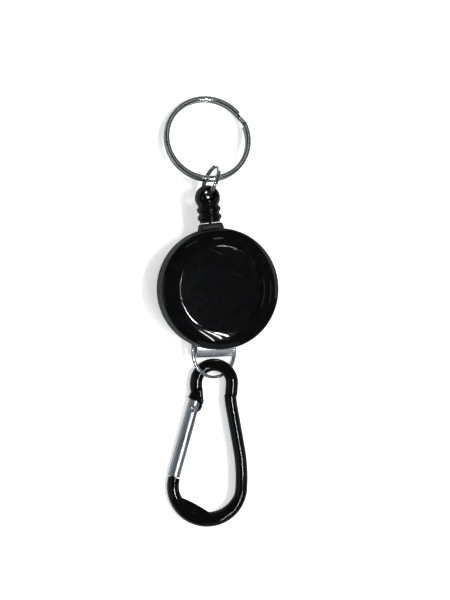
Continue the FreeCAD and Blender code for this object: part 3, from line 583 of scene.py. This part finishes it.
def sheet_section(half_w, half_t, edge_r):
    """A flat strip's section with rounded edges, as (across, through) offsets."""
    points = []
    for sx, sz, a0 in ((1, 1, 0), (-1, 1, 90), (-1, -1, 180), (1, -1, 270)):
        for a in CLIP_EDGE_ANGLES:
            b = math.radians(a0 + a)
            x = sx * (half_w - edge_r) + edge_r * math.cos(b)
            points.append((x, sz * (half_t - edge_r) + edge_r * math.sin(b)))
    return points


def belt_clip():
    """One bent sheet: the inner leaf, the half-round bend and the outer leaf with its raised tip."""
    turn = Matrix.Rotation(CLIP_TURN, 3, "Z")
    end_share, end_reach = CLIP_END_THINNING
    sections = []
    for point, tangent, s, total in evenly(clip_line(), CLIP_STEP):
        normal = Vector((-tangent.y, tangent.x))
        from_end = min(s, total - s)
        into = max(0.0, CLIP_CORNER_R - from_end)
        half_w = CLIP_HALF_W - CLIP_CORNER_R + math.sqrt(max(0.0, CLIP_CORNER_R ** 2 - into ** 2))
        thin = min(1.0, end_share + (1 - end_share) * math.sqrt(min(1.0, from_end / end_reach)))
        section = sheet_section(half_w, CLIP_T / 2 * thin, CLIP_EDGE_R)
        sections.append([
            turn @ Vector((x, point.x + normal.x * n, point.y + normal.y * n)) for x, n in section
        ])
    vertices, faces = loft(sections)
    piece = add_piece("clip_sheet", vertices, faces, CLIP, "clip")
    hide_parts("belt_clip")


# ---------------------------------------------------------------- gate rivet and cord

RIVET_REACH = 1.96            # from the rivet's middle to its highest point
RIVET_HEAD = (                # (radius, depth below that point) over the head and down to the shank
    (0.0, 0.20), (0.16, 0.19), (0.32, 0.11), (0.46, 0.03), (0.6, 0.02),
    (0.74, 0.07), (0.88, 0.17), (0.97, 0.30), (0.99, 0.38), (0.5, 0.42),
)
RIVET_STEPS = 64


def gate_rivet():
    """A peened rivet: a domed rim round a shallow dimple on each side of the gate."""
    hinge = JOINTS["gate_open"]
    centre, axis = Vector(hinge["pos_m"]) / MM, Vector(hinge["axis"]).normalized()
    head = [(r, RIVET_REACH - depth) for r, depth in RIVET_HEAD]
    profile = head + [(r, -h) for r, h in reversed(head)]
    vertices, faces = lathe(profile, centre, axis, RIVET_STEPS)
    piece = add_piece("rivet", vertices, faces, RIVET, "carabiner")
    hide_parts("gate_rivet")


CORD_R = 0.4
CORD_STATIONS = 96
CORD_SIDES = 16


def pull_cord():
    """The cord between the nozzle and the bead."""
    low, high = (Vector(corner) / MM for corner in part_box("pull_cord"))
    x, z = (low.x + high.x) / 2, (low.z + high.z) / 2
    sections = []
    for k in range(CORD_STATIONS + 1):
        y = low.y + (high.y - low.y) * k / CORD_STATIONS
        sections.append([
            (x + CORD_R * math.sin(a), y, z + CORD_R * math.cos(a))
            for a in (2 * math.pi * i / CORD_SIDES for i in range(CORD_SIDES))
        ])
    vertices, faces = loft(sections)
    piece = add_piece("cord_stretch", vertices, faces, CORD, None)
    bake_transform(piece)
    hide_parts("pull_cord")


def gate_spring():
    """The coil in the gate."""
    mesh = NODES["gate_spring"].data.copy()
    piece = place_piece("spring_coil", mesh, STEEL, "gate")
    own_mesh(piece)
    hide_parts("gate_spring")


# ---------------------------------------------------------------- floor, lights and camera

# In metres and watts, unless a comment says otherwise.
LEAN = math.radians(15.0)      # the camera leans this far to the reel's left of straight down
ROLL = math.radians(6.57)      # and is rolled, so that the cord points up and to the left
DISTANCE = 0.9
VIEW_HEIGHT = 0.159            # height of the view at the object
VIEW_RANGE = (0.02, 20.0)      # nearest and furthest that the camera sees
AIM_OFFSET = (3.54, 2.45, -1.3)  # millimetres, from the middle of the object's box
SENSOR = 36.0                  # millimetres
FLOOR_SIZE = 4.0
FLOOR_DROP = 0.03 * MM         # keeps the floor clear of the faces that rest on it
PAPER = ((0.93, 0.93, 0.93), (0.95, 0.95, 0.95))
MIRRORED_FLOOR = (0.42, 0.46, 0.45)   # the floor's colour where the object mirrors it
CAMERA_GLOW = 0.55             # how much brighter the camera sees the floor than the object does
SKY = (0.85, 0.93, 1.0)
SKY_STRENGTH = 0.035
CEILING = 1.0                  # height of the lights above the floor
HIDDEN_LIGHTS = {              # place, size and watts of the lights that glossy surfaces don't show
    "overhead": ((0.12, 0.1, CEILING), (0.9, 0.9), 4.0),
    "key": ((0.22, 0.09, CEILING), (0.13, 0.13), 3.4),
}
TUBES = (                      # width and ends of three narrow ceiling lights
    (0.032, (0.060, -0.322), (0.112, -0.833)),
    (0.024, (0.179, -0.179), (0.224, -0.590)),
    (0.018, (0.228, -0.160), (0.286, -0.420)),
)
TUBE_WATTS = 1.6
SOFT_COLOUR = (0.86, 0.93, 1.0)
SOFT_BOXES = {                 # place, size and watts of the dim lights that glossy surfaces show
    "lamp": ((0.178, -0.048, CEILING), (0.022, 0.11), 1.5),
    "far_left": ((-0.16, 0.90, CEILING), (0.28, 0.05), 0.05),
    "far_right": ((1.09, -0.16, CEILING), (0.10, 0.32), 0.06),
    "near_right": ((0.40, -0.055, CEILING), (0.03, 0.08), 0.005),
    "glow": ((0.17, -0.45, 1.02), (0.34, 0.5), 0.2),
    "front": ((0.15, -1.5, 0.7), (1.2, 0.7), 0.7),
    "behind": ((0.33, 0.60, CEILING), (0.13, 0.13), 0.08),
    "left": ((-1.3, 0.1, 0.75), (0.5, 0.9), 0.8),
    "right": ((1.5, 0.3, 0.45), (0.25, 1.4), 0.9),
    "back": ((0.0, 1.6, 0.35), (1.6, 0.2), 0.9),
}


def view_axes():
    """The picture's right, its up, and the way back to the camera."""
    lean, roll = (math.cos(LEAN), math.sin(LEAN)), (math.cos(ROLL), math.sin(ROLL))
    right = Vector((lean[0] * roll[0], -lean[0] * roll[1], lean[1]))
    up = Vector((roll[1], roll[0], 0.0))
    return right, up, right.cross(up)


def add_camera():
    """A long lens at the photo's viewing angle."""
    right, up, back = view_axes()
    data = bpy.data.cameras.new("camera")
    data.sensor_fit = "VERTICAL"
    data.sensor_height = SENSOR
    data.lens = SENSOR * DISTANCE / VIEW_HEIGHT
    data.clip_start, data.clip_end = VIEW_RANGE
    camera = bpy.data.objects.new("camera", data)
    SCENE.collection.objects.link(camera)
    low, high = (Vector(corner) for corner in CAD_BOX)
    place = (low + high) / 2 + Vector(AIM_OFFSET) * MM + back * DISTANCE
    camera.matrix_world = Matrix.Translation(place) @ Matrix((right, up, back)).transposed().to_4x4()
    SCENE.camera = camera


def add_area(name, place, size, watts, target=(0, 0, 0), along=(0, 1, 0), colour=(1, 1, 1), glossy=True):
    """A rectangular light that faces its target. Its second side follows along."""
    data = bpy.data.lights.new(name, "AREA")
    data.shape = "RECTANGLE"
    data.size, data.size_y = size
    data.energy = watts
    data.color = colour
    light = bpy.data.objects.new(name, data)
    SCENE.collection.objects.link(light)
    back = (Vector(place) - Vector(target)).normalized()
    along = Vector(along)
    y = (along - back * along.dot(back)).normalized()
    x = y.cross(back)
    light.matrix_world = Matrix.Translation(Vector(place)) @ Matrix((x, y, back)).transposed().to_4x4()
    light.visible_glossy = glossy


def add_floor():
    """A pale floor. The camera sees it brighter, and glossy surfaces see it darker, than it is."""
    bpy.ops.mesh.primitive_grid_add(
        x_subdivisions=8, y_subdivisions=8, size=FLOOR_SIZE, location=(0, 0, -FLOOR_DROP))
    floor = bpy.context.object
    floor.name = "floor"
    n = Nodes("pale_floor")
    paper = n.mix(n.noise(0.02, 3.0), *PAPER)
    n.feed(Roughness=n.ramp(n.noise(0.3, 3.0), 0.75, 0.85))
    path = n.add("ShaderNodeLightPath")
    n.feed(Emission_Strength=n.ramp(path.outputs["Is Camera Ray"], 0.0, CAMERA_GLOW))
    n.feed(Base_Color=n.mix(path.outputs["Is Glossy Ray"], paper, MIRRORED_FLOOR))
    n.set(Specular_IOR_Level=0.1, Emission_Color=(1.0, 1.0, 1.0))
    floor.data.materials.append(n.material)


def add_world():
    """A dim, slightly cool sky all round."""
    world = bpy.data.worlds.new("studio")
    SCENE.world = world
    world.use_nodes = True
    background = world.node_tree.nodes["Background"]
    background.inputs["Color"].default_value = (*SKY, 1.0)
    background.inputs["Strength"].default_value = SKY_STRENGTH


def add_lights():
    for name, (place, size, watts) in HIDDEN_LIGHTS.items():
        add_area(name, place, size, watts, glossy=False)
    for k, (width, *ends) in enumerate(TUBES):
        a, b = (Vector((*end, CEILING)) for end in ends)
        centre, run = (a + b) / 2, b - a
        below = centre - Vector((0, 0, 1))
        add_area(f"tube_{k}", centre, (width, run.length), TUBE_WATTS, target=below, along=run)
    for name, (place, size, watts) in SOFT_BOXES.items():
        add_area(name, place, size, watts, colour=SOFT_COLOUR)


# ---------------------------------------------------------------- build

SKINS = (
    # node; piece; material; body; slot; voxel in millimetres; rounds of smoothing
    ("carabiner_body", "carabiner_bar", ENAMEL, "carabiner", "black_enamel", 0.12, 8),
    ("cord_bead", "bead", BEAD, "cord_end", "gloss_black", 0.07, 6),
    ("cord_guide", "nozzle", GUIDE, "reel", "matt_black", 0.09, 4),
    ("gate", "gate_tube", ALUMINIUM, "gate", "aluminium", 0.07, 2),
)

add_camera()
add_floor()
add_world()
add_lights()
paint_nodes()

for ring in RINGS:
    split_ring(ring)
belt_clip()
gate_rivet()
pull_cord()
gate_spring()
for node, name, material, body, slot, voxel, rounds in SKINS:
    softened(node, name, material, body, voxel, rounds)
SCENE.view_settings.view_transform = "Standard"
